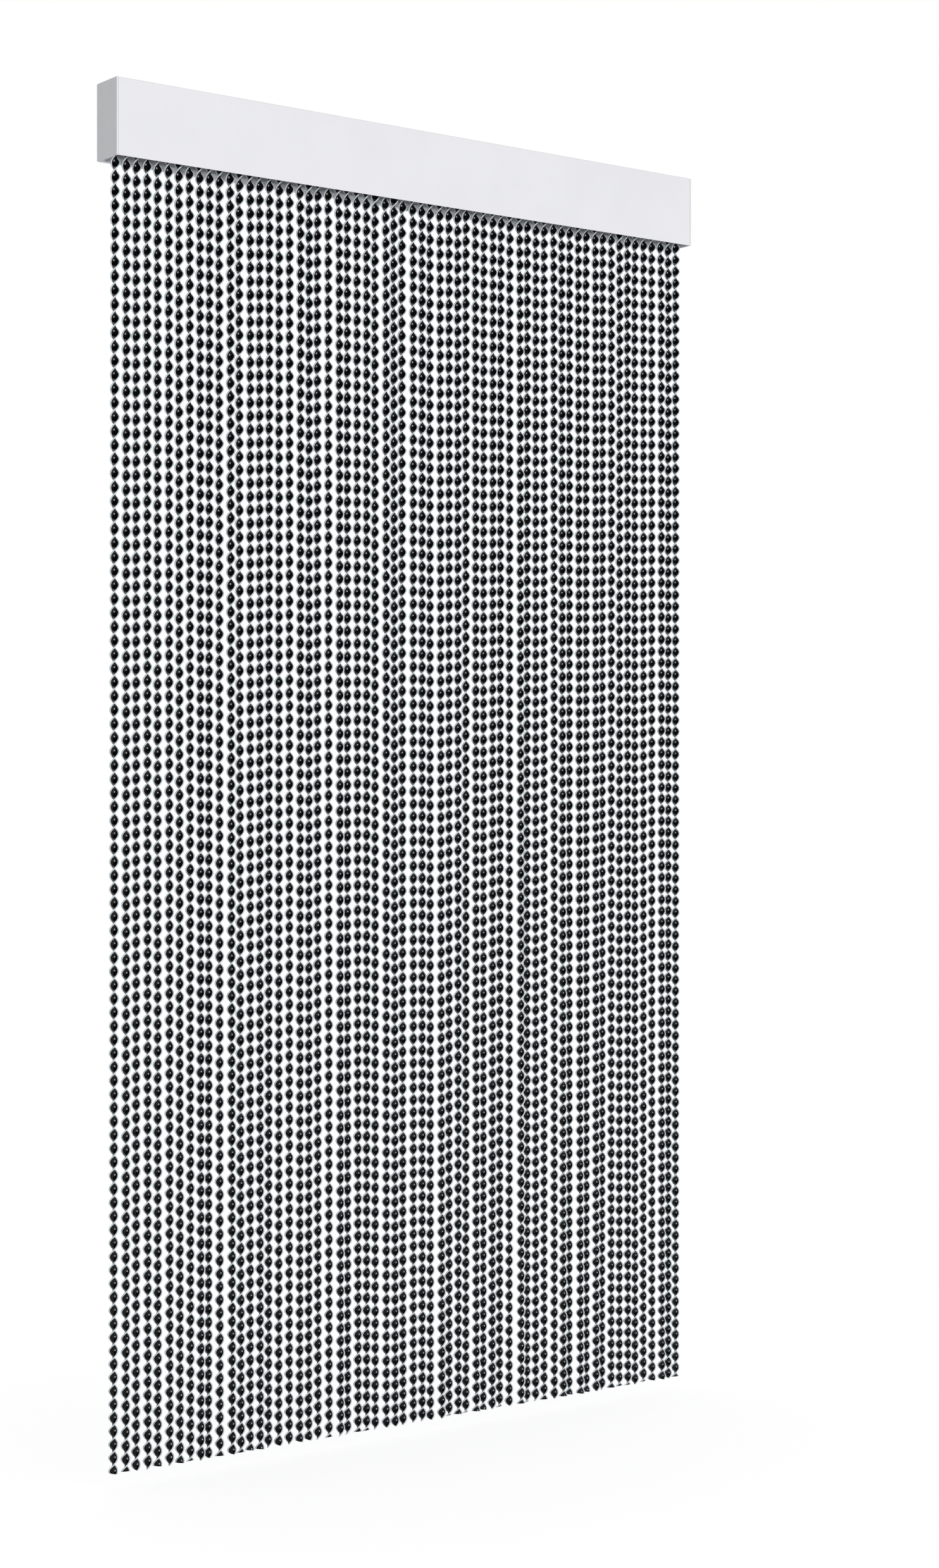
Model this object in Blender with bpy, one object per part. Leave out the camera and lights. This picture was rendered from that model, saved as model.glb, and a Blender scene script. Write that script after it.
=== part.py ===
# Fly curtain: twisted plastic strands, hung in pairs on a steel rod inside an aluminium head rail.
# Metres, +Z up. X runs along the rail, -Y faces the room, and the wall is the plane Y = 0.
# The origin is the middle of the wall plane behind the rail.

import math

import bmesh
import bpy
from mathutils import Matrix, Vector

# Overall sizes
RAIL_LENGTH = 1.2000  # end to end, over both caps
RAIL_HEIGHT = 0.1230
RAIL_DEPTH = 0.0640  # wall plane to front face
CURTAIN_DROP = 2.0770  # rail's lower edge to the strand ends

# Clearances
FIT_GAP = 0.0003  # between faces that touch
RUNNING_GAP = 0.0003  # least gap round the rod
TONGUE_GAP = 0.0004  # hanger tongue to the header on each side of it
SWING_GAP = 0.0020  # swinging header to the strap above it
OVERRUN = 0.0020  # how far a cutter runs past what it cuts

# Head rail: one extrusion, open below
RAIL_WALL = 0.0018
RAIL_CORNER_RADIUS = 0.0015
RAIL_WALL_GAP = 0.0005  # its back edges to the wall plane
RECESS_DEPTH = 0.0090  # wall plane to the web, the space for the brackets
REAR_LIP_HEIGHT = 0.0080
RIB_REACH = 0.0030
RIB_THICKNESS = 0.0015

# End caps
CAP_THICKNESS = 0.0030
CAP_EDGE_RADIUS = 0.0006
CAP_PLUG_DEPTH = 0.0100
CAP_PLUG_WALL = 0.0020
ROD_POCKET_DEPTH = 0.0020

# Hanging rod
ROD_RADIUS = 0.0030
ROD_HEIGHT = 0.0200  # axis above the rail's lower edge
ROD_CHAMFER = 0.0004

# Rod hangers: bent sheet steel, slid between the rail's ribs
HANGER_COUNT = 6
HANGER_SHEET = 0.0020
HANGER_LENGTH = 0.0240
HANGER_EYE_WIDTH = 0.0140

# Strands and their moulded headers
PAIR_COUNT = 31
STRAND_RADIUS = 0.0079  # outer radius of the twisted profile
CURTAIN_INSET = 0.0060  # rail end to the edge of the outermost strand
STRAND_SEAT = 0.0030  # how deep a strand end sits in its header
HEADER_MARGIN = 0.0006  # header's side to the strand's side
HEADER_DROP = 0.0085  # rod axis to the header's underside

# Wall brackets
BRACKET_COUNT = 3
BRACKET_INSET = 0.1500  # rail end to the middle of the first bracket
BRACKET_WIDTH = 0.0500
BRACKET_SHEET = 0.0020
BRACKET_STEP_HEIGHT = 0.0040
BRACKET_LIP_GAP = 0.0010  # top of the step to the rail's rear lip
WALL_HOLE_RADIUS = 0.00275
WALL_HOLE_SPACING = 0.0600

# Lock screws, up through the rail's rear flange into the bracket's foot
LOCK_SHANK_RADIUS = 0.0015
LOCK_HEAD_RADIUS = 0.00275
LOCK_HEAD_HEIGHT = 0.0024
LOCK_PAST_FOOT = 0.0030
LOCK_SOCKET_RADIUS = 0.00145
LOCK_SOCKET_DEPTH = 0.0013

# Roundness
STRAND_SIDES = 8
ROD_SIDES = 16
BORE_SIDES = 12
SCREW_SIDES = 12
SOCKET_SIDES = 6
CORNER_STEPS = 3
HEADER_ARC_STEPS = 8
EYE_ARC_STEPS = 8
EDGE_SEGMENTS = 2
SMOOTH_ANGLE = math.radians(30)

# Places worked out from the sizes
RAIL_TOP = RAIL_HEIGHT / 2
RAIL_BOTTOM = -RAIL_HEIGHT / 2
RAIL_FRONT = -RAIL_DEPTH
RAIL_BACK = -RAIL_WALL_GAP
FRONT_INNER = RAIL_FRONT + RAIL_WALL
ROOF_UNDERSIDE = RAIL_TOP - RAIL_WALL
WEB_REAR = -RECESS_DEPTH
WEB_FRONT = WEB_REAR - RAIL_WALL
CAP_INNER_X = RAIL_LENGTH / 2 - CAP_THICKNESS
ROD_Y = (FRONT_INNER + WEB_FRONT) / 2
ROD_Z = RAIL_BOTTOM + ROD_HEIGHT
ROD_BORE = ROD_RADIUS + RUNNING_GAP

STRAND_COUNT = 2 * PAIR_COUNT
STRAND_PITCH = (RAIL_LENGTH - 2 * (CURTAIN_INSET + STRAND_RADIUS)) / (STRAND_COUNT - 1)
PAIR_PITCH = 2 * STRAND_PITCH
HEADER_GAP = HANGER_SHEET + 2 * TONGUE_GAP
HEADER_LENGTH = PAIR_PITCH - HEADER_GAP
HEADER_HALF_DEPTH = STRAND_RADIUS + HEADER_MARGIN

STRAP_LOW = ROD_Z + math.hypot(HEADER_HALF_DEPTH, HEADER_DROP) + SWING_GAP
STRAP_HIGH = STRAP_LOW + HANGER_SHEET
LOWER_RIB_HIGH = STRAP_LOW - FIT_GAP
LOWER_RIB_LOW = LOWER_RIB_HIGH - RIB_THICKNESS
UPPER_RIB_LOW = STRAP_HIGH + FIT_GAP
UPPER_RIB_HIGH = UPPER_RIB_LOW + RIB_THICKNESS

FOOT_LOW = RAIL_BOTTOM + RAIL_WALL + FIT_GAP
FOOT_HIGH = FOOT_LOW + BRACKET_SHEET
FOOT_FRONT = WEB_REAR + FIT_GAP
HOOK_REAR = RAIL_BACK - RAIL_WALL - FIT_GAP
HOOK_FRONT = HOOK_REAR - BRACKET_SHEET
HOOK_TOP = ROOF_UNDERSIDE - FIT_GAP
STEP_HIGH = RAIL_TOP - REAR_LIP_HEIGHT - BRACKET_LIP_GAP
STEP_LOW = STEP_HIGH - BRACKET_STEP_HEIGHT
LOCK_Y = (FOOT_FRONT - BRACKET_SHEET) / 2
LOCK_HOLE_RADIUS = LOCK_SHANK_RADIUS + FIT_GAP


def clear_scene():
    for old in list(bpy.data.objects):
        bpy.data.objects.remove(old)


# An sRGB hex colour as Blender's linear values
def linear_colour(hex_colour):
    channels = []
    for place in (0, 2, 4):
        value = int(hex_colour[place:place + 2], 16) / 255
        channels.append(value / 12.92 if value <= 0.04045 else ((value + 0.055) / 1.055) ** 2.4)
    return (*channels, 1.0)


def make_material(name, hex_colour, roughness, metallic):
    material = bpy.data.materials.new(name)
    material.use_nodes = True
    shader = material.node_tree.nodes["Principled BSDF"]
    shader.inputs["Base Color"].default_value = linear_colour(hex_colour)
    shader.inputs["Roughness"].default_value = roughness
    shader.inputs["Metallic"].default_value = metallic
    return material


def add_object(name, mesh):
    piece = bpy.data.objects.new(name, mesh)
    bpy.context.scene.collection.objects.link(piece)
    return piece


def object_from(name, shape):
    bmesh.ops.recalc_face_normals(shape, faces=shape.faces)
    mesh = bpy.data.meshes.new(name)
    shape.to_mesh(mesh)
    shape.free()
    return add_object(name, mesh)


# Points on a circle's arc, both ends included
def arc(centre_y, centre_z, radius, start, end, steps):
    points = []
    for step in range(steps + 1):
        angle = start + (end - start) * step / steps
        points.append((centre_y + radius * math.cos(angle), centre_z + radius * math.sin(angle)))
    return points


# A solid with the given outline in Y and Z, from one X to another
def prism(name, outline, x_low, x_high):
    shape = bmesh.new()
    corners = [shape.verts.new((x_low, y, z)) for y, z in outline]
    face = shape.faces.new(corners)
    grown = bmesh.ops.extrude_face_region(shape, geom=[face])
    moved = [item for item in grown["geom"] if isinstance(item, bmesh.types.BMVert)]
    bmesh.ops.translate(shape, vec=Vector((x_high - x_low, 0, 0)), verts=moved)
    return object_from(name, shape)


# A box between two opposite corners, given in either order
def block(name, corner, opposite):
    shape = bmesh.new()
    size = [abs(a - b) for a, b in zip(corner, opposite)]
    middle = (Vector(corner) + Vector(opposite)) / 2
    place = Matrix.Translation(middle) @ Matrix.Diagonal((*size, 1))
    bmesh.ops.create_cube(shape, size=1, matrix=place)
    return object_from(name, shape)


# A round bar between two points. Its corners lie on the radius.
def bar(name, start, end, radius, sides):
    shape = bmesh.new()
    run = Vector(end) - Vector(start)
    middle = (Vector(end) + Vector(start)) / 2
    turn = run.to_track_quat("Z", "Y").to_matrix().to_4x4()
    bmesh.ops.create_cone(
        shape,
        cap_ends=True,
        segments=sides,
        radius1=radius,
        radius2=radius,
        depth=run.length,
        matrix=Matrix.Translation(middle) @ turn,
    )
    return object_from(name, shape)


# A cutter whose flat sides, not its corners, lie on the radius, so nothing round inside it is touched
def hole_cutter(start, end, radius):
    return bar("cutter", start, end, radius / math.cos(math.pi / BORE_SIDES), BORE_SIDES)


# Join the tool to the target or cut it away, and keep the result as the target's mesh
def combine(target, tool, operation):
    modifier = target.modifiers.new(operation.title(), "BOOLEAN")
    modifier.operation = operation
    modifier.solver = "EXACT"
    modifier.object = tool
    graph = bpy.context.evaluated_depsgraph_get()
    result = bpy.data.meshes.new_from_object(target.evaluated_get(graph))
    target.modifiers.clear()
    target.data = result
    bpy.data.objects.remove(tool)


def round_edges(piece, width, wanted):
    shape = bmesh.new()
    shape.from_mesh(piece.data)
    edges = [edge for edge in shape.edges if wanted(edge)]
    bmesh.ops.bevel(shape, geom=edges, offset=width, segments=EDGE_SEGMENTS, profile=0.5, affect="EDGES")
    shape.to_mesh(piece.data)
    shape.free()


def finish(piece, material, parent):
    piece.data.shade_smooth()
    piece.data.set_sharp_from_angle(angle=SMOOTH_ANGLE)
    piece.data.materials.clear()
    piece.data.materials.append(material)
    piece.parent = parent
    return piece


# The rail's section, from the front wall's lower edge over the top and back down inside
def rail_outline():
    radius = RAIL_CORNER_RADIUS
    front_rib = FRONT_INNER + RIB_REACH
    web_rib = WEB_FRONT - RIB_REACH
    outline = [(RAIL_FRONT, RAIL_BOTTOM)]
    outline += arc(RAIL_FRONT + radius, RAIL_TOP - radius, radius, math.pi, math.pi / 2, CORNER_STEPS)
    outline += arc(RAIL_BACK - radius, RAIL_TOP - radius, radius, math.pi / 2, 0, CORNER_STEPS)
    outline += [
        (RAIL_BACK, RAIL_TOP - REAR_LIP_HEIGHT),
        (RAIL_BACK - RAIL_WALL, RAIL_TOP - REAR_LIP_HEIGHT),
        (RAIL_BACK - RAIL_WALL, ROOF_UNDERSIDE),
        (WEB_REAR, ROOF_UNDERSIDE),
        (WEB_REAR, RAIL_BOTTOM + RAIL_WALL),
        (RAIL_BACK, RAIL_BOTTOM + RAIL_WALL),
        (RAIL_BACK, RAIL_BOTTOM),
        (WEB_FRONT, RAIL_BOTTOM),
    ]
    for low, high in ((LOWER_RIB_LOW, LOWER_RIB_HIGH), (UPPER_RIB_LOW, UPPER_RIB_HIGH)):
        outline += [(WEB_FRONT, low), (web_rib, low), (web_rib, high), (WEB_FRONT, high)]
    outline += [(WEB_FRONT, ROOF_UNDERSIDE), (FRONT_INNER, ROOF_UNDERSIDE)]
    for low, high in ((UPPER_RIB_LOW, UPPER_RIB_HIGH), (LOWER_RIB_LOW, LOWER_RIB_HIGH)):
        outline += [(FRONT_INNER, high), (front_rib, high), (front_rib, low), (FRONT_INNER, low)]
    outline.append((FRONT_INNER, RAIL_BOTTOM))
    return outline


def make_head_rail():
    half = CAP_INNER_X - FIT_GAP
    rail = prism("head_rail", rail_outline(), -half, half)
    for x in bracket_places():
        low = (x, LOCK_Y, RAIL_BOTTOM - OVERRUN)
        high = (x, LOCK_Y, RAIL_BOTTOM + RAIL_WALL + OVERRUN)
        combine(rail, hole_cutter(low, high, LOCK_HOLE_RADIUS), "DIFFERENCE")
    return rail


def cap_outline():
    radius = RAIL_CORNER_RADIUS
    quarter = math.pi / 2
    outline = arc(RAIL_BACK - radius, RAIL_TOP - radius, radius, 0, quarter, CORNER_STEPS)
    outline += arc(RAIL_FRONT + radius, RAIL_TOP - radius, radius, quarter, 2 * quarter, CORNER_STEPS)
    outline += arc(RAIL_FRONT + radius, RAIL_BOTTOM + radius, radius, 2 * quarter, 3 * quarter, CORNER_STEPS)
    outline += arc(RAIL_BACK - radius, RAIL_BOTTOM + radius, radius, 3 * quarter, 4 * quarter, CORNER_STEPS)
    return outline


def on_face(vert, x):
    return abs(vert.co.x - x) < FIT_GAP


# side is -1 for the left cap and 1 for the right one
def make_end_cap(name, side):
    outer = side * RAIL_LENGTH / 2
    inner = side * CAP_INNER_X
    plug_end = inner - side * CAP_PLUG_DEPTH
    cap = prism(name, cap_outline(), inner, outer)
    round_edges(cap, CAP_EDGE_RADIUS, lambda edge: all(on_face(vert, outer) for vert in edge.verts))

    front = FRONT_INNER + FIT_GAP
    rear = WEB_FRONT - FIT_GAP
    low = UPPER_RIB_HIGH + FIT_GAP
    high = ROOF_UNDERSIDE - FIT_GAP
    plug_start = inner + side * CAP_THICKNESS / 2
    combine(cap, block("plug", (plug_start, front, low), (plug_end, rear, high)), "UNION")
    wall = CAP_PLUG_WALL
    mouth = (plug_end - side * OVERRUN, front + wall, low + wall)
    combine(cap, block("hollow", mouth, (inner, rear - wall, high - wall)), "DIFFERENCE")

    pocket_floor = (inner + side * ROD_POCKET_DEPTH, ROD_Y, ROD_Z)
    pocket_mouth = (inner - side * OVERRUN, ROD_Y, ROD_Z)
    combine(cap, hole_cutter(pocket_mouth, pocket_floor, ROD_BORE), "DIFFERENCE")
    return cap


def make_hanging_rod():
    half = CAP_INNER_X + ROD_POCKET_DEPTH - FIT_GAP
    rod = bar("hanging_rod", (-half, ROD_Y, ROD_Z), (half, ROD_Y, ROD_Z), ROD_RADIUS, ROD_SIDES)
    round_edges(rod, ROD_CHAMFER, lambda edge: on_face(edge.verts[0], edge.verts[1].co.x))
    return rod


# The gaps between headers that take a hanger's tongue, spread evenly from the first gap to the last
def hanger_places():
    places = []
    for number in range(HANGER_COUNT):
        gap = round(1 + number * (PAIR_COUNT - 2) / (HANGER_COUNT - 1))
        places.append((gap - PAIR_COUNT / 2) * PAIR_PITCH)
    return places


def make_rod_hanger(name, x):
    radius = HANGER_EYE_WIDTH / 2
    outline = arc(ROD_Y, ROD_Z, radius, -math.pi, 0, EYE_ARC_STEPS)
    outline += [(ROD_Y + radius, STRAP_HIGH), (ROD_Y - radius, STRAP_HIGH)]
    hanger = prism(name, outline, x - HANGER_SHEET / 2, x + HANGER_SHEET / 2)
    strap_low = (x - HANGER_SHEET / 2, FRONT_INNER + FIT_GAP, STRAP_LOW)
    strap_high = (x - HANGER_SHEET / 2 + HANGER_LENGTH, WEB_FRONT - FIT_GAP, STRAP_HIGH)
    combine(hanger, block("strap", strap_low, strap_high), "UNION")
    start = (x - HANGER_SHEET / 2 - OVERRUN, ROD_Y, ROD_Z)
    end = (x + HANGER_SHEET / 2 + OVERRUN, ROD_Y, ROD_Z)
    combine(hanger, hole_cutter(start, end, ROD_BORE), "DIFFERENCE")
    return hanger


# A moulded header bar with two strand ends set into it. Its own origin is on the rod's axis.
def strand_pair_mesh():
    outline = arc(0, 0, HEADER_HALF_DEPTH, 0, math.pi, HEADER_ARC_STEPS)
    outline += [(-HEADER_HALF_DEPTH, -HEADER_DROP), (HEADER_HALF_DEPTH, -HEADER_DROP)]
    pair = prism("pair", outline, -HEADER_LENGTH / 2, HEADER_LENGTH / 2)
    end = HEADER_LENGTH / 2 + OVERRUN
    combine(pair, hole_cutter((-end, 0, 0), (end, 0, 0), ROD_BORE), "DIFFERENCE")
    for side in (-1, 1):
        x = side * STRAND_PITCH / 2
        top = (x, 0, STRAND_SEAT - HEADER_DROP)
        bottom = (x, 0, -ROD_HEIGHT - CURTAIN_DROP)
        combine(pair, bar("strand", bottom, top, STRAND_RADIUS, STRAND_SIDES), "UNION")
    mesh = pair.data
    bpy.data.objects.remove(pair)
    return mesh


def pair_places():
    return [(number - (PAIR_COUNT - 1) / 2) * PAIR_PITCH for number in range(PAIR_COUNT)]


def bracket_places():
    if BRACKET_COUNT == 1:
        return [0]
    last = RAIL_LENGTH / 2 - BRACKET_INSET
    return [last * (2 * number / (BRACKET_COUNT - 1) - 1) for number in range(BRACKET_COUNT)]


# Bent sheet: a foot under the rail's web, a plate on the wall and a hook behind the rear lip
def make_wall_bracket(name, x):
    outline = [
        (0, FOOT_LOW),
        (0, STEP_LOW),
        (HOOK_REAR, STEP_HIGH),
        (HOOK_REAR, HOOK_TOP),
        (HOOK_FRONT, HOOK_TOP),
        (HOOK_FRONT, STEP_HIGH),
        (-BRACKET_SHEET, STEP_LOW),
        (-BRACKET_SHEET, FOOT_HIGH),
        (FOOT_FRONT, FOOT_HIGH),
        (FOOT_FRONT, FOOT_LOW),
    ]
    bracket = prism(name, outline, x - BRACKET_WIDTH / 2, x + BRACKET_WIDTH / 2)
    for side in (-1, 1):
        z = side * WALL_HOLE_SPACING / 2
        start = (x, OVERRUN, z)
        end = (x, -BRACKET_SHEET - OVERRUN, z)
        combine(bracket, hole_cutter(start, end, WALL_HOLE_RADIUS), "DIFFERENCE")
    low = (x, LOCK_Y, FOOT_LOW - OVERRUN)
    high = (x, LOCK_Y, FOOT_HIGH + OVERRUN)
    combine(bracket, hole_cutter(low, high, LOCK_HOLE_RADIUS), "DIFFERENCE")
    return bracket


def make_lock_screw(name, x):
    head_high = RAIL_BOTTOM - FIT_GAP
    head_low = head_high - LOCK_HEAD_HEIGHT
    screw = bar(name, (x, LOCK_Y, head_low), (x, LOCK_Y, head_high), LOCK_HEAD_RADIUS, SCREW_SIDES)
    shank_low = (x, LOCK_Y, head_low + LOCK_HEAD_HEIGHT / 2)
    shank_high = (x, LOCK_Y, FOOT_HIGH + LOCK_PAST_FOOT)
    combine(screw, bar("shank", shank_low, shank_high, LOCK_SHANK_RADIUS, SCREW_SIDES), "UNION")
    socket_low = (x, LOCK_Y, head_low - OVERRUN)
    socket_high = (x, LOCK_Y, head_low + LOCK_SOCKET_DEPTH)
    socket = bar("socket", socket_low, socket_high, LOCK_SOCKET_RADIUS, SOCKET_SIDES)
    combine(screw, socket, "DIFFERENCE")
    return screw


def main():
    clear_scene()
    coated = make_material("coated_aluminium", "E9E9EC", 0.45, 0.0)
    moulded = make_material("moulded_grey", "B3B4B8", 0.5, 0.0)
    bright = make_material("bright_steel", "C4C6C8", 0.3, 1.0)
    zinc = make_material("zinc_plated_steel", "A9ADB0", 0.42, 1.0)
    black = make_material("gloss_black_plastic", "0A0A0B", 0.15, 0.0)

    origin = bpy.data.objects.new("fly_curtain", None)
    bpy.context.scene.collection.objects.link(origin)

    finish(make_head_rail(), coated, origin)
    finish(make_end_cap("end_cap_left", -1), moulded, origin)
    finish(make_end_cap("end_cap_right", 1), moulded, origin)
    finish(make_hanging_rod(), bright, origin)
    for number, x in enumerate(hanger_places(), start=1):
        finish(make_rod_hanger(f"rod_hanger_{number}", x), zinc, origin)
    for number, x in enumerate(bracket_places(), start=1):
        finish(make_wall_bracket(f"wall_bracket_{number}", x), zinc, origin)
        finish(make_lock_screw(f"lock_screw_{number}", x), zinc, origin)

    pair_mesh = strand_pair_mesh()
    for number, x in enumerate(pair_places(), start=1):
        pair = finish(add_object(f"strand_pair_{number:02d}", pair_mesh), black, origin)
        pair.location = (x, ROD_Y, ROD_Z)


main()
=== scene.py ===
import math
import random

import bpy
import numpy as np
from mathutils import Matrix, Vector


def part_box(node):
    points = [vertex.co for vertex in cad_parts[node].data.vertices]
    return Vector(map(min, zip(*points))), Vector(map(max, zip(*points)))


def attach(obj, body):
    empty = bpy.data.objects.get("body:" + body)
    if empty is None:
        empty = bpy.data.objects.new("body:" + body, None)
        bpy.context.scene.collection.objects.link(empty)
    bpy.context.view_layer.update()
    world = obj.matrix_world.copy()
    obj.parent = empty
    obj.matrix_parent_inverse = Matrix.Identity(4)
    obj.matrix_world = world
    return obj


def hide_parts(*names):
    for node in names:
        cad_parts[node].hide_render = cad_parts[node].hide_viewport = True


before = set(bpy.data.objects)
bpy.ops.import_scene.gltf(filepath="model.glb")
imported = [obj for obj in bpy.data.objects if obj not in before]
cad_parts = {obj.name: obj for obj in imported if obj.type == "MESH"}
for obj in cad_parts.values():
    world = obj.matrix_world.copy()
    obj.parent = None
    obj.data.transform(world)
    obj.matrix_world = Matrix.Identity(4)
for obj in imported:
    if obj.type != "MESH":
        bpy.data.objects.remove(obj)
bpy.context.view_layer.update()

imageHeight = 2479    # pixels of the photograph, along its long side
millimetre = 0.001

print("fly curtain: frame loaded,", len(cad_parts), "nodes")


# Selection and mesh helpers

def deselectAll():
    if bpy.context.mode != "OBJECT":
        bpy.ops.object.mode_set(mode="OBJECT")
    bpy.ops.object.select_all(action="DESELECT")


def pick(*pieces):
    deselectAll()
    for piece in pieces:
        piece.select_set(True)
    bpy.context.view_layer.objects.active = pieces[0]


def selectParts(piece, kind, wanted):    # kind is "verts", "edges" or "faces"; leaves the piece in edit mode
    pick(piece)
    bpy.ops.object.mode_set(mode="EDIT")
    modes = {"verts": "VERT", "edges": "EDGE", "faces": "FACE"}
    bpy.ops.mesh.select_mode(type=modes[kind])
    bpy.ops.mesh.select_all(action="DESELECT")
    bpy.ops.object.mode_set(mode="OBJECT")
    mesh = piece.data
    for part in {"verts": mesh.vertices, "edges": mesh.edges, "faces": mesh.polygons}[kind]:
        part.select = wanted(part)
    bpy.ops.object.mode_set(mode="EDIT")


def edgeEnds(piece, edge):
    return [piece.data.vertices[number].co for number in edge.vertices]


def edgeRise(piece, edge):    # the height between its two ends
    start, end = edgeEnds(piece, edge)
    return abs(start.z - end.z)


def applyPlace(piece):    # the place goes into the mesh, and the object stays at the origin
    pick(piece)
    bpy.ops.object.transform_apply(location=True, rotation=True, scale=True)


def addModifier(piece, kind, **settings):
    modifier = piece.modifiers.new(kind.title(), kind)
    for name, value in settings.items():
        setattr(modifier, name, value)
    pick(piece)
    bpy.ops.object.modifier_apply(modifier=modifier.name)


def roundEdges(piece, width, segments, foldAngle):    # the folds sharper than the angle, in degrees
    angle = math.radians(foldAngle)
    addModifier(piece, "BEVEL", width=width, segments=segments, limit_method="ANGLE", angle_limit=angle)


def addCylinder(sides, radius, length, place, **settings):
    deselectAll()
    bpy.ops.mesh.primitive_cylinder_add(
        vertices=sides, radius=radius, depth=length, location=place, **settings)
    piece = bpy.context.object
    applyPlace(piece)
    return piece


def copyPiece(piece, name):
    copied = piece.copy()
    copied.data = piece.data.copy()
    copied.name = name
    bpy.context.scene.collection.objects.link(copied)
    return copied


def smooth(piece, degrees):
    pick(piece)
    bpy.ops.object.shade_smooth_by_angle(angle=math.radians(degrees))


# Materials

def hexColour(text):    # sRGB hex to Blender's linear colour
    channels = [int(text[place:place + 2], 16) / 255 for place in (1, 3, 5)]
    linear = [c / 12.92 if c <= 0.04045 else ((c + 0.055) / 1.055) ** 2.4 for c in channels]
    return (*linear, 1.0)


def addNode(tree, kind, inputs=None, **settings):
    node = tree.nodes.new("ShaderNode" + kind)
    for name, value in settings.items():
        setattr(node, name, value)
    for name, value in (inputs or {}).items():
        if isinstance(value, bpy.types.NodeSocket):
            tree.links.new(value, node.inputs[name])
        else:
            node.inputs[name].default_value = value
    return node


def newMaterial(name, **shaderValues):    # returns the material, its tree and its Principled shader
    material = bpy.data.materials.new(name)
    material.use_nodes = True
    tree = material.node_tree
    shader = tree.nodes["Principled BSDF"]
    for socket, value in shaderValues.items():
        shader.inputs[socket.replace("_", " ")].default_value = value
    return material, tree, shader


def twoTones(tree, factor, first, second):    # a colour between two hex tones
    mix = addNode(tree, "Mix", {0: factor, 6: hexColour(first), 7: hexColour(second)}, data_type="RGBA")
    return mix.outputs[2]


def remap(tree, value, start, end, low=0, high=1, **settings):    # held at both ends
    inputs = {"Value": value, "From Min": start, "From Max": end, "To Min": low, "To Max": high}
    return addNode(tree, "MapRange", inputs, **settings).outputs[0]


def combine(tree, operation, first, second, **settings):
    return addNode(tree, "Math", {0: first, 1: second}, operation=operation, **settings).outputs[0]


def dot(tree, first, second):
    return addNode(tree, "VectorMath", {0: first, 1: second}, operation="DOT_PRODUCT").outputs["Value"]


noiseLow, noiseHigh = 0.3, 0.7    # a noise value seldom leaves this range


def spread(tree, value, low, high):    # a noise value stretched to a range
    return remap(tree, value, noiseLow, noiseHigh, low, high)


def addNoise(tree, place, patch, **inputs):    # patch is the size of its patches in millimetres
    inputs = {"Vector": place, "Scale": 1 / (patch * millimetre), **inputs}
    return addNode(tree, "TexNoise", inputs).outputs[0]


def addLines(tree, place, finish, lengthways):    # lengthways is 0 for lines along X, 2 for lines along Z
    scale = [1 / (finish["lineSpacing"] * millimetre)] * 3
    scale[lengthways] = 1 / (finish["lineLength"] * millimetre)
    stretched = addNode(tree, "Mapping", {"Vector": place, "Scale": scale}).outputs[0]
    return addNode(tree, "TexNoise", {"Vector": stretched, "Scale": 1, "Detail": 2}).outputs[0]


def addRelief(tree, shader, height, finish):
    inputs = {"Height": height, "Strength": finish["bump"], "Distance": finish["relief"] * millimetre}
    tree.links.new(addNode(tree, "Bump", inputs).outputs[0], shader.inputs["Normal"])


def twoToneFinish(tree, shader, toneValue, shineValue, finish):    # roughness runs with the second value
    tone = twoTones(tree, toneValue, finish["toneDark"], finish["tone"])
    tree.links.new(tone, shader.inputs["Base Color"])
    tree.links.new(spread(tree, shineValue, *finish["roughness"]), shader.inputs["Roughness"])


# In each finish: sizes of its patterns, relief and lines in millimetres; bump is the strength of the relief

coating = {
    "tone": "#E9E9EC", "toneDark": "#E6E6EA", "roughness": (0.36, 0.46), "ior": 1.5,
    "cloud": 90, "grain": 1.2, "relief": 0.012, "bump": 0.35,
}


def powderCoatedAluminium():    # polyester powder baked on an extrusion: pale, satin, a faint orange peel
    material, tree, shader = newMaterial("powderCoatedAluminium", IOR=coating["ior"])
    place = addNode(tree, "TexCoord").outputs["Object"]
    cloud = addNoise(tree, place, coating["cloud"])
    grain = addNoise(tree, place, coating["grain"], Detail=3)
    twoToneFinish(tree, shader, spread(tree, cloud, 0, 1), grain, coating)
    addRelief(tree, shader, grain, coating)
    return material


capPlastic = {
    "tone": "#E6E7EA", "toneDark": "#E3E4E7", "roughness": (0.45, 0.6), "ior": 1.53,
    "cloud": 25, "grain": 0.7, "relief": 0.03, "bump": 0.5,
}


def mouldedGreyPlastic():    # injection-moulded ABS with a fine eroded grain, which dulls its shine
    material, tree, shader = newMaterial("mouldedGreyPlastic", IOR=capPlastic["ior"])
    place = addNode(tree, "TexCoord").outputs["Object"]
    cloud = addNoise(tree, place, capPlastic["cloud"])
    grain = addNoise(tree, place, capPlastic["grain"], Detail=4)
    twoToneFinish(tree, shader, spread(tree, cloud, 0, 1), grain, capPlastic)
    addRelief(tree, shader, grain, capPlastic)
    return material


zinc = {
    "tone": "#C9CCCE", "toneWarm": "#B7B5A8", "warmShare": 0.7, "roughness": (0.32, 0.48),
    "patch": 7, "grain": 0.8, "relief": 0.01, "bump": 0.4,
}


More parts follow.
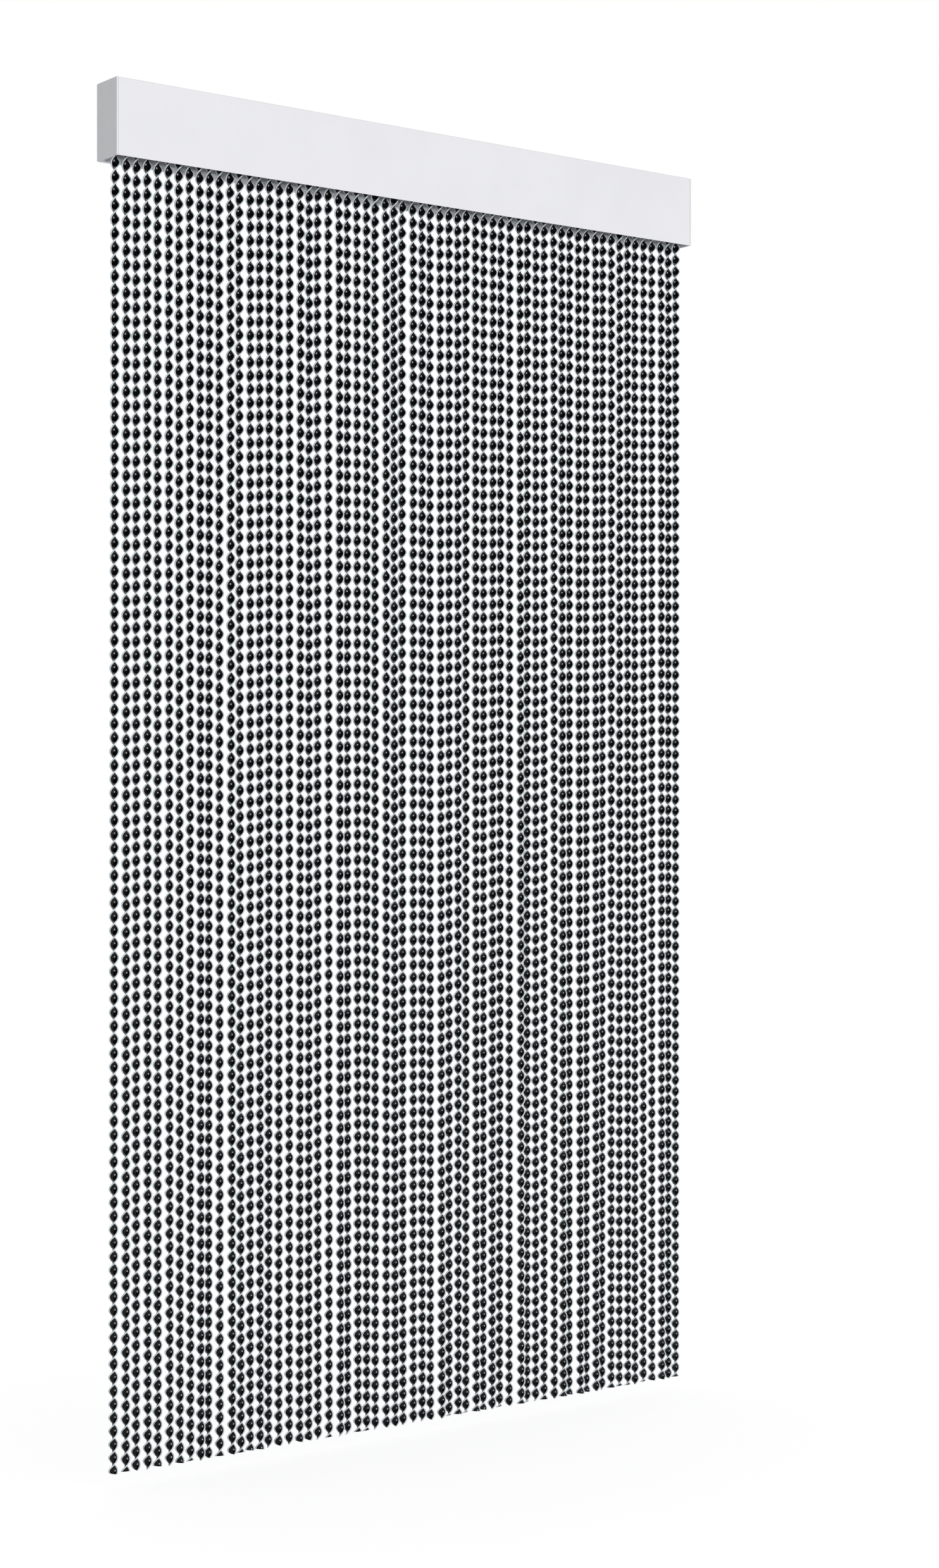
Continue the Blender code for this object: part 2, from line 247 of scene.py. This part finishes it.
def zincPlatedSteel():    # clear passivated zinc on sheet: cool grey, faint straw patches and a soft sheen
    material, tree, shader = newMaterial("zincPlatedSteel", Metallic=1.0)
    place = addNode(tree, "TexCoord").outputs["Object"]
    patch = addNoise(tree, place, zinc["patch"], Detail=3)
    grain = addNoise(tree, place, zinc["grain"])
    tone = twoTones(tree, spread(tree, patch, 0, zinc["warmShare"]), zinc["tone"], zinc["toneWarm"])
    tree.links.new(tone, shader.inputs["Base Color"])
    tree.links.new(spread(tree, patch, *zinc["roughness"]), shader.inputs["Roughness"])
    addRelief(tree, shader, grain, zinc)
    return material


drawnBar = {
    "tone": "#CFD1D3", "toneDark": "#B9BCBF", "roughness": (0.22, 0.34),
    "lineSpacing": 0.3, "lineLength": 60, "relief": 0.008, "bump": 0.5,
}


def drawnBrightSteel():    # cold-drawn bar: bright, with fine lines along its length
    material, tree, shader = newMaterial("drawnBrightSteel", Metallic=1.0)
    place = addNode(tree, "TexCoord").outputs["Object"]
    lines = addLines(tree, place, drawnBar, 0)
    twoToneFinish(tree, shader, spread(tree, lines, 0, 1), lines, drawnBar)
    addRelief(tree, shader, lines, drawnBar)
    return material


def plainPlastic(name, finish):    # one tone and one roughness all over
    material, tree, shader = newMaterial(name, Base_Color=hexColour(finish["tone"]), IOR=finish["ior"])
    shader.inputs["Roughness"].default_value = finish["roughness"]
    return material, tree, shader


webPlastic = {
    "tone": "#040405", "roughness": 0.17,
    "ior": 1.4,             # lower than the plastic's own, because the photograph's web is close to black
    "lineSpacing": 0.45,    # coarser than the real flow lines, so that they show
    "lineLength": 40, "relief": 0.05, "bump": 0.5,
}


def extrudedBlackPvc():    # soft PVC out of a die: deep black and glossy, its highlight broken by flow lines
    material, tree, shader = plainPlastic("extrudedBlackPvc", webPlastic)
    straight = addNode(tree, "Attribute", attribute_name="straight").outputs["Vector"]
    addRelief(tree, shader, addLines(tree, straight, webPlastic, 2), webPlastic)
    return material


beadPlastic = {"tone": "#D6E0E5", "roughness": 0.26, "ior": 1.53, "ripple": 5, "relief": 0.03, "bump": 0.5}


def extrudedPearlPvc():    # opaque PVC along the edges: pale blue-grey with a soft gloss
    material, tree, shader = plainPlastic("extrudedPearlPvc", beadPlastic)
    straight = addNode(tree, "Attribute", attribute_name="straight").outputs["Vector"]
    addRelief(tree, shader, addNoise(tree, straight, beadPlastic["ripple"]), beadPlastic)
    return material


headerPlastic = {"tone": "#141415", "roughness": 0.42, "ior": 1.53, "grain": 0.5, "relief": 0.02, "bump": 0.4}


def mouldedBlackNylon():    # injection-moulded nylon: black, satin, with a fine grain
    material, tree, shader = plainPlastic("mouldedBlackNylon", headerPlastic)
    place = addNode(tree, "TexCoord").outputs["Object"]
    addRelief(tree, shader, addNoise(tree, place, headerPlastic["grain"]), headerPlastic)
    return material


coatedRail = powderCoatedAluminium()
greyCap = mouldedGreyPlastic()
zincSteel = zincPlatedSteel()
brightSteel = drawnBrightSteel()
blackWeb = extrudedBlackPvc()
pearlBead = extrudedPearlPvc()
blackHeader = mouldedBlackNylon()
print("fly curtain: materials made")


# The rail, its caps and the sheet steel: their solids with rounded edges

fineEdges = {    # by the start of the node's name: its material, its slot and the width of its rounded edges
    "head_rail": {"material": coatedRail, "slot": "rail_coating", "edge": 0.0003},
    "end_cap": {"material": greyCap, "slot": "end_cap", "edge": 0.0002},
    "rod_hanger": {"material": zincSteel, "slot": "zinc_steel", "edge": 0.0003},
    "wall_bracket": {"material": zincSteel, "slot": "zinc_steel", "edge": 0.0004},
}
fineFinish = {
    "joinWithin": 0.000001,     # points closer than this become one
    "flatWithin": 1,            # degrees between triangles that become one face
    "segments": 2,
    "foldAngle": 55,
    "smooth": 50,
}


def roundedCopy(nodeName, made):    # the solid's loose triangles are joined first
    piece = bpy.data.objects.new(nodeName + "_rounded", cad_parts[nodeName].data.copy())
    bpy.context.scene.collection.objects.link(piece)
    selectParts(piece, "verts", lambda vert: True)
    bpy.ops.mesh.remove_doubles(threshold=fineFinish["joinWithin"])
    bpy.ops.mesh.dissolve_limited(angle_limit=math.radians(fineFinish["flatWithin"]))
    bpy.ops.object.mode_set(mode="OBJECT")
    roundEdges(piece, made["edge"], fineFinish["segments"], fineFinish["foldAngle"])
    smooth(piece, fineFinish["smooth"])
    addModifier(piece, "WEIGHTED_NORMAL", keep_sharp=True)    # keeps broad faces flat beside rounded edges
    piece.data.materials.clear()
    piece.data.materials.append(made["material"])
    standFor(piece, "rail", nodeName)


def standFor(piece, body, nodeName):
    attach(piece, body)
    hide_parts(nodeName)


for nodeStart, made in fineEdges.items():
    for nodeName in sorted(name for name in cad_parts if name.startswith(nodeStart)):
        roundedCopy(nodeName, made)


# The hanging rod and the lock screws

rod = {"sides": 48, "chamfer": 0.0004, "segments": 2, "foldAngle": 60, "smooth": 35}
alongRail = (0, math.pi / 2, 0)    # turns an upright cylinder along X
rodLow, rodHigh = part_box("hanging_rod")
rodY, rodZ = (rodLow.y + rodHigh.y) / 2, (rodLow.z + rodHigh.z) / 2


def makeRod():
    radius, length = (rodHigh.z - rodLow.z) / 2, rodHigh.x - rodLow.x
    piece = addCylinder(rod["sides"], radius, length, (0, rodY, rodZ), rotation=alongRail)
    piece.name = "hanging_rod_bar"
    roundEdges(piece, rod["chamfer"], rod["segments"], rod["foldAngle"])
    smooth(piece, rod["smooth"])
    piece.data.materials.append(brightSteel)
    standFor(piece, "rail", "hanging_rod")


makeRod()

lockScrew = {
    "sides": 40,
    "headRadius": 0.00275, "headHeight": 0.0024,
    "headEdge": 0.0003, "edgeSegments": 3, "foldAngle": 60,
    "keySides": 6, "keyRadius": 0.00145,            # the socket for its key, from its middle to a corner
    "keyDepth": 0.0013,
    "shankRadius": 0.0015, "coreRadius": 0.00125,
    "threadPitch": 0.0005,                          # M3: rings stand for its helix
    "smooth": 40,
}


def makeLockScrew():    # its head's underside at the origin, its shank upwards
    low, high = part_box("lock_screw_1")
    headTop = low.z + lockScrew["headHeight"]
    headHeight = lockScrew["headHeight"]
    head = addCylinder(lockScrew["sides"], lockScrew["headRadius"], headHeight, (0, 0, -headHeight / 2))
    roundEdges(head, lockScrew["headEdge"], lockScrew["edgeSegments"], lockScrew["foldAngle"])
    keyLength = 2 * lockScrew["keyDepth"]    # half of it stands out of the head, for a clean cut
    key = addCylinder(lockScrew["keySides"], lockScrew["keyRadius"], keyLength, (0, 0, -headHeight))
    addModifier(head, "BOOLEAN", operation="DIFFERENCE", object=key)
    bpy.data.objects.remove(key)

    length = high.z - headTop
    turns = round(length / lockScrew["threadPitch"])
    shank = addCylinder(lockScrew["sides"], lockScrew["shankRadius"], length, (0, 0, length / 2))
    selectParts(shank, "edges", lambda edge: edgeRise(shank, edge) > length / 2)
    bpy.ops.mesh.subdivide(number_cuts=2 * turns - 1)
    step = length / (2 * turns)
    selectParts(shank, "verts", lambda vert: round(vert.co.z / step) % 2 == 0
                and vert.co.xy.length > lockScrew["coreRadius"])
    core = lockScrew["coreRadius"] / lockScrew["shankRadius"]
    bpy.ops.transform.resize(value=(core, core, 1))
    bpy.ops.object.mode_set(mode="OBJECT")
    pick(head, shank)
    bpy.ops.object.join()
    head.data.materials.append(zincSteel)
    smooth(head, lockScrew["smooth"])
    return head


screwModel = makeLockScrew()
for nodeName in sorted(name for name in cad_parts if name.startswith("lock_screw")):
    low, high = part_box(nodeName)
    screw = copyPiece(screwModel, nodeName + "_fine")
    screw.location = ((low.x + high.x) / 2, (low.y + high.y) / 2, low.z + lockScrew["headHeight"])
    applyPlace(screw)
    standFor(screw, "rail", nodeName)
bpy.data.objects.remove(screwModel)
print("fly curtain: rail, caps, sheet steel, rod and screws finished")


# The moulded header of each pair of strands

header = {
    "boreRadius": 0.0034, "boreSides": 32,
    "topRound": 0.0083, "topSegments": 8,    # of its back, a little under half its depth
    "edge": 0.0005, "edgeSegments": 2, "foldAngle": 40,
    "smooth": 35,
}
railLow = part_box("head_rail")[0].z
pairNames = sorted(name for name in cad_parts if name.startswith("strand_pair"))
pairX = {name: sum(corner.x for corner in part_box(name)) / 2 for name in pairNames}
headerLow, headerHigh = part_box(pairNames[0])
headerLength = headerHigh.x - headerLow.x
headerDepth = headerHigh.y - headerLow.y
headerUnder = rodZ - headerDepth / 2    # it is as deep under the rod as it is above


def makeHeader():    # centred on the rod's axis at X = 0
    middle = (0, rodY, rodZ)
    size = (headerLength, headerDepth, headerDepth)
    bpy.ops.mesh.primitive_cube_add(size=1, location=middle, scale=size)
    piece = bpy.context.object
    applyPlace(piece)
    selectParts(piece, "edges", lambda edge: all(end.z > rodZ for end in edgeEnds(piece, edge))
                and abs(edgeEnds(piece, edge)[0].y - edgeEnds(piece, edge)[1].y) < millimetre)
    bpy.ops.mesh.bevel(offset=header["topRound"], segments=header["topSegments"])
    boreLength = 2 * headerLength    # stands out at both ends, for a clean cut
    bore = addCylinder(header["boreSides"], header["boreRadius"], boreLength, middle, rotation=alongRail)
    addModifier(piece, "BOOLEAN", operation="DIFFERENCE", object=bore)
    bpy.data.objects.remove(bore)
    roundEdges(piece, header["edge"], header["edgeSegments"], header["foldAngle"])
    smooth(piece, header["smooth"])
    piece.data.materials.append(blackHeader)
    return piece


# A strand: a black web with a bead along both edges, extruded straight and then twisted

strand = {
    "webSides": 4,
    "webHalfWidth": 0.0063,     # its edge is set into the bead
    "webHalfThick": 0.0016,     # in the middle, a guess; it thins out towards the beads
    "beadSides": 6,
    "beadCentre": 0.0067,       # from the strand's axis
    "beadHalfWidth": 0.0012,    # outwards
    "beadHalfThick": 0.0015,    # across, measured level; square to its own run it is a little thinner
    "rings": 31,                # the length is divided into the square of this many slices
    "levelWithin": 0.00001,     # an edge that rises less than this is level
    "seat": 0.003,              # how deep its top is set into the header
    "smooth": 65,
}
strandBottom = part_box(pairNames[0])[0].z
strandTop = headerUnder + strand["seat"]
strandLength = strandTop - strandBottom
strandPitch = (pairX[pairNames[1]] - pairX[pairNames[0]]) / 2


def sliceUp(piece):    # level cuts all the way down, for the twist
    for repeat in range(2):
        selectParts(piece, "edges", lambda edge: edgeRise(piece, edge) > strand["levelWithin"])
        bpy.ops.mesh.subdivide(number_cuts=strand["rings"] - 1)
        bpy.ops.object.mode_set(mode="OBJECT")


def keepStraight(piece):    # each point's straight place stays with it, so that patterns follow the twist
    places = np.empty(len(piece.data.vertices) * 3, np.float32)
    piece.data.vertices.foreach_get("co", places)
    piece.data.attributes.new("straight", "FLOAT_VECTOR", "POINT").data.foreach_set("vector", places)


def makeStraightWeb():
    size = (strand["webHalfWidth"], strand["webHalfThick"], 1)
    piece = addCylinder(strand["webSides"], 1, strandLength, (0, 0, -strandLength / 2), scale=size)
    sliceUp(piece)
    return piece


def makeStraightBeads():
    size = (strand["beadHalfWidth"], strand["beadHalfThick"], 1)
    middle = (strand["beadCentre"], 0, -strandLength / 2)
    piece = addCylinder(strand["beadSides"], 1, strandLength, middle, scale=size)
    sliceUp(piece)
    addModifier(piece, "MIRROR", use_mirror_merge=False)
    selectParts(piece, "faces", lambda face: True)
    bpy.ops.mesh.normals_make_consistent(inside=False)
    bpy.ops.object.mode_set(mode="OBJECT")
    return piece


# How each strand hangs, from the left end to the right one

hang = {
    "topShift": [    # how far right of its even place it hangs a little below its header, in millimetres
        -1.0, 0.7, -0.8, -1.5, -0.2, 1.2, 0.1, 1.1, 0.4, -0.3, -1.0, 1.0, -1.5, 0.1, -1.0, 0.1, -1.2, 0.4,
        2.7, 1.0, -1.8, 0.0, 2.6, -0.1, -0.2, 1.1, -0.6, 2.6, -0.2, -2.2, 2.5, 0.5, -1.7, 0.0, 0.6, 0.0,
        -0.3, 0.1, -0.5, 0.0, -1.1, -2.0, 1.6, -0.3, -0.7, -1.3, 1.3, -0.3, -0.4, -0.6, -0.6, 1.5, -0.8,
        0.2, -0.2, -1.4, -1.7, 0.1, 0.1, 3.0, 1.2, -0.3],
    "lowShift": [    # and at its lower end, moved apart where two would touch
        -3.7, 0.3, -0.6, -0.8, 0.1, 1.0, 0.7, 2.2, 0.4, -2.1, -1.4, 2.9, 0.1, 0.4, -1.8, -1.2, -1.1, -0.5,
        1.4, 0.9, -1.9, -0.4, 2.9, 0.1, 2.2, -0.6, -0.6, 2.3, 0.4, -2.3, 3.2, 1.2, -0.9, 1.3, 1.7, 1.5, 0.6,
        0.8, -1.7, -1.9, -3.2, -2.1, 2.9, 0.1, -0.1, -2.8, 0.3, 1.2, 0.0, 1.6, -0.3, 0.7, -2.1, -1.5, 0.1,
        -1.1, -3.7, 0.9, 1.6, 3.2, 1.0, -1.8],
    "topLeaf": [    # half turns past its broad side where it comes out below the rail
        0.40, 0.32, 0.28, 0.46, 0.33, 0.33, 0.12, 0.38, 0.20, 0.26, 0.15, 0.49, 0.13, 0.16, 0.28, 0.35,
        0.21, 0.41, 0.24, 0.08, 0.27, 0.40, 0.19, 0.21, 0.16, 0.18, 0.96, 0.42, 0.90, 0.39, 0.31, 0.27,
        0.17, 0.16, 0.28, 0.19, 0.48, 0.33, 0.27, 0.27, 0.31, 0.19, 0.21, 0.35, 0.20, 0.22, 0.46, 0.29,
        0.38, 0.21, 0.33, 0.22, 0.34, 0.35, 0.99, 0.35, 0.28, 0.33, 0.30, 0.37, 0.20, 0.54],
    "halfTurns": [    # from there to its end, by a fit
        95.8, 95.6, 96.1, 96.1, 95.8, 96.2, 96.0, 96.4, 96.3, 96.1, 95.8, 96.8, 96.7, 96.9, 96.8, 97.2,
        97.1, 97.1, 97.0, 97.2, 97.3, 97.4, 97.4, 97.4, 97.7, 97.6, 97.6, 98.0, 98.5, 98.1, 98.2, 98.3,
        98.2, 98.3, 98.4, 98.8, 99.2, 98.7, 98.8, 99.2, 99.4, 99.2, 98.7, 99.3, 99.4, 99.7, 100.0, 99.7,
        99.7, 99.9, 99.8, 100.2, 100.2, 100.6, 100.8, 100.4, 100.2, 100.4, 100.9, 100.9, 101.2, 100.3],
    "stretch": 0.065,       # its weight makes the half turns at the top this share longer than at the bottom
    "bend": 0.04,           # it leaves its header at the even place and bends to its own in about twice this
    "topSway": 0.0012,      # the most that it hangs forwards or back, by chance
    "lowSway": 0.0030,
    "seed": 5,
}

photoView = {
    "place": (-2.702, -3.786, -1.049),
    "yaw": math.radians(36.89),         # turned this far to the right of straight on
    "focalPixels": 4273,
    "sensorWidth": 36,                  # millimetres
    "farthest": 100,
}

viewX, viewY, viewZ = photoView["place"]
viewAhead = (math.sin(photoView["yaw"]), math.cos(photoView["yaw"]), 0)
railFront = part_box("head_rail")[0].y
sightTop = viewZ + (railLow - viewZ) * (rodY - viewY) / (railFront - viewY)    # the highest seen of a strand
sightLength = sightTop - strandBottom


def twistStrand(piece, number, sway):
    x = (number - len(pairNames) + 0.5) * strandPitch
    broadside = math.atan2(rodY - viewY, x - viewX) + math.pi / 2
    halfTurns = hang["halfTurns"][number]
    change = hang["stretch"] * halfTurns    # rate at the bottom less the rate at the top
    rate = halfTurns - change / 2           # half turns per visible length, at the top of it
    hidden = (strandTop - sightTop) / sightLength
    topTurns = rate * hidden                # half turns out of sight above
    turns = topTurns + halfTurns
    addModifier(piece, "SIMPLE_DEFORM", deform_method="TWIST", deform_axis="Z", angle=turns * math.pi)
    places = np.empty(len(piece.data.vertices) * 3, np.float32)
    piece.data.vertices.foreach_get("co", places)
    places = places.reshape(-1, 3).astype(float)
    turn = broadside - math.pi * (hang["topLeaf"][number] - topTurns)
    x, y, down = places[:, 0].copy(), places[:, 1].copy(), -places[:, 2] / strandLength
    places[:, 0] = x * math.cos(turn) - y * math.sin(turn)
    places[:, 1] = x * math.sin(turn) + y * math.cos(turn)
    reached = rate ** 2 + 2 * change * (turns * down - topTurns)
    share = (np.sqrt(reached) - rate) / change    # of the visible length
    places[:, 2] = -(share + hidden) * sightLength
    near = 1 - np.exp(places[:, 2] / hang["bend"])
    low = np.clip(share, 0, 1)
    topShift, lowShift = hang["topShift"][number] * millimetre, hang["lowShift"][number] * millimetre
    places[:, 0] += topShift * near + (lowShift - topShift) * low
    places[:, 1] += sway[0] * near + sway[1] * low
    piece.data.vertices.foreach_set("co", places.astype(np.float32).ravel())
    piece.data.update()


headerModel = makeHeader()
straightWeb = makeStraightWeb()
straightBeads = makeStraightBeads()
for model in (straightWeb, straightBeads):
    keepStraight(model)
straightWeb.data.materials.append(blackWeb)
straightBeads.data.materials.append(pearlBead)
webPoints, beadPoints = len(straightWeb.data.vertices), len(straightBeads.data.vertices)
print("fly curtain: straight strand modelled,", webPoints, beadPoints, "points")

chance = random.Random(hang["seed"])
for pairNumber, pairName in enumerate(pairNames):
    number = pairName.split("_")[-1]
    made = {"webs": [], "beads": []}
    for side in (0, 1):
        sway = [chance.uniform(-1, 1) * hang[name] for name in ("topSway", "lowSway")]
        for kind, model in (("webs", straightWeb), ("beads", straightBeads)):
            copied = copyPiece(model, f"strand_{kind}_{number}_{side}")
            twistStrand(copied, 2 * pairNumber + side, sway)
            copied.location = (pairX[pairName] + (side - 0.5) * strandPitch, rodY, strandTop)
            applyPlace(copied)
            smooth(copied, strand["smooth"])
            made[kind].append(copied)
    for kind, slotName in (("webs", "strand_web"), ("beads", "strand_bead")):
        pick(*made[kind])
        bpy.ops.object.join()
        joined = made[kind][0]
        joined.name = f"strand_{kind}_{number}"
        standFor(joined, f"pair_{number}", pairName)
    top = copyPiece(headerModel, f"strand_header_{number}")
    top.location.x = pairX[pairName]
    applyPlace(top)
    standFor(top, f"pair_{number}", pairName)
for model in (headerModel, straightWeb, straightBeads):
    bpy.data.objects.remove(model)
print("fly curtain: strands hung")


# Floor, light and camera

def whiteShare(tree, shine):    # how much of the white shows: all to the camera, and in gloss as given
    path = addNode(tree, "LightPath").outputs
    glossy = combine(tree, "MULTIPLY", path["Is Glossy Ray"], shine)
    seen = combine(tree, "ADD", path["Is Camera Ray"], glossy)
    return combine(tree, "ADD", seen, path["Is Transmission Ray"], use_clamp=True)


floorFinish = {
    "below": 0.02,              # under the strand ends
    "size": 12,
    "tone": "#E6E6E7",
    "roughness": 0.8,
    "litShare": 0.4,            # how much of its own light, and with it the shadow, shows near the object
    "glow": 1.33,               # near the object, so that the floor without shadow comes out white
    "nearRadius": 0.7, "farRadius": 1.9,    # the shadow fades out between these
    "shineFrom": 0.0, "shineTo": 0.6,       # how far behind the object gloss begins to mirror its white
}


def makeFloor():
    height = strandBottom - floorFinish["below"]
    bpy.ops.mesh.primitive_plane_add(size=floorFinish["size"], location=(0, 0, height))
    floor = bpy.context.object
    floor.name = "floor"
    applyPlace(floor)
    tone = hexColour(floorFinish["tone"])
    material, tree, shader = newMaterial("paleFloor", Base_Color=tone, Roughness=floorFinish["roughness"])
    place = addNode(tree, "TexCoord").outputs["Object"]
    level = addNode(tree, "VectorMath", {0: place, 1: (1, 1, 0)}, operation="MULTIPLY").outputs[0]
    distance = addNode(tree, "VectorMath", {0: level}, operation="LENGTH").outputs["Value"]
    near, far = floorFinish["nearRadius"], floorFinish["farRadius"]
    part, strength = [
        remap(tree, distance, near, far, low=nearValue, interpolation_type="SMOOTHSTEP")
        for nearValue in (1 - floorFinish["litShare"], floorFinish["glow"])]
    behind = dot(tree, place, viewAhead)
    shine = remap(tree, behind, floorFinish["shineFrom"], floorFinish["shineTo"])
    part = combine(tree, "MULTIPLY", whiteShare(tree, shine), part)
    glow = addNode(tree, "Emission", {"Color": (1, 1, 1, 1), "Strength": strength}).outputs[0]
    mixed = addNode(tree, "MixShader", {0: part, 1: shader.outputs[0], 2: glow}).outputs[0]
    tree.links.new(mixed, tree.nodes["Material Output"].inputs["Surface"])
    floor.data.materials.append(material)


studio = {
    "backTone": "#FFFFFF",      # behind the curtain as the photograph sees it
    "roomTone": "#3A3B3D",      # the dim side that the photograph is taken from
    "strength": 0.8,
    "backFrom": -0.95, "backTo": 0.3,       # where the room goes over into the back; 0 is square to the view
    "shineFrom": -0.1, "shineTo": 0.3,      # the same for what gloss mirrors
    "ceilingFrom": 0.35, "ceilingTo": 0.8,  # where the mirrored back goes dim; 1 is straight up
    "sideFrom": 0.0, "sideTo": 0.7,         # pale walls beside the rail's two ends; 1 is straight to the side
    "sideShare": 0.3,
}


def makeWorld():
    world = bpy.data.worlds.new("studio")
    bpy.context.scene.world = world
    world.use_nodes = True
    tree = world.node_tree
    direction = addNode(tree, "TexCoord").outputs["Generated"]
    facing = dot(tree, direction, viewAhead)
    parts = addNode(tree, "SeparateXYZ", {0: direction}).outputs
    below = remap(tree, parts["Z"], studio["ceilingTo"], studio["ceilingFrom"])
    back = remap(tree, facing, studio["backFrom"], studio["backTo"])
    shine = remap(tree, facing, studio["shineFrom"], studio["shineTo"])
    shine = combine(tree, "MULTIPLY", shine, below)
    across = addNode(tree, "Math", {0: parts["X"]}, operation="ABSOLUTE").outputs[0]
    side = remap(tree, across, studio["sideFrom"], studio["sideTo"], high=studio["sideShare"])
    pale = combine(tree, "ADD", back, side, use_clamp=True)
    diffuse = addNode(tree, "LightPath").outputs["Is Diffuse Ray"]    # gloss mirrors no pale walls
    pale = combine(tree, "MULTIPLY", pale, diffuse)
    tone = twoTones(tree, pale, studio["roomTone"], studio["backTone"])
    lit = addNode(tree, "Background", {"Color": tone, "Strength": studio["strength"]}).outputs[0]
    white = addNode(tree, "Background", {"Color": (1, 1, 1, 1), "Strength": 1.0}).outputs[0]
    mixed = addNode(tree, "MixShader", {0: whiteShare(tree, shine), 1: lit, 2: white}).outputs[0]
    tree.links.new(mixed, tree.nodes["World Output"].inputs["Surface"])


keyLamp = {
    "turn": math.radians(-2),    # to the right of straight in front
    "rise": 0,
    "distance": 9.0,
    "width": 6.0, "height": 1.2,
    "power": 512,
}


def makeKeyLamp():
    middle = Vector((0, rodY, (railLow + strandBottom) / 2))
    data = bpy.data.lights.new("keyLamp", "AREA")
    data.shape = "RECTANGLE"
    data.size, data.size_y = keyLamp["width"], keyLamp["height"]
    data.energy = keyLamp["power"]
    lamp = bpy.data.objects.new("keyLamp", data)
    bpy.context.scene.collection.objects.link(lamp)
    level = keyLamp["distance"] * math.cos(keyLamp["rise"])
    offset = Vector((level * math.sin(keyLamp["turn"]), -level * math.cos(keyLamp["turn"]),
                     keyLamp["distance"] * math.sin(keyLamp["rise"])))
    lamp.location = middle + offset
    lamp.rotation_euler = (-offset).to_track_quat("-Z", "Y").to_euler()
    lamp.visible_camera = False


def makeCamera():
    data = bpy.data.cameras.new("camera")
    data.sensor_width = photoView["sensorWidth"]
    data.lens = photoView["focalPixels"] / imageHeight * data.sensor_width    # the long side takes its width
    data.clip_end = photoView["farthest"]
    camera = bpy.data.objects.new("camera", data)
    bpy.context.scene.collection.objects.link(camera)
    camera.location = photoView["place"]
    camera.rotation_euler = (math.pi / 2, 0, -photoView["yaw"])
    bpy.context.scene.camera = camera


makeFloor()
makeWorld()
makeKeyLamp()
makeCamera()
bpy.context.scene.view_settings.view_transform = "Standard"
print("fly curtain: studio ready")
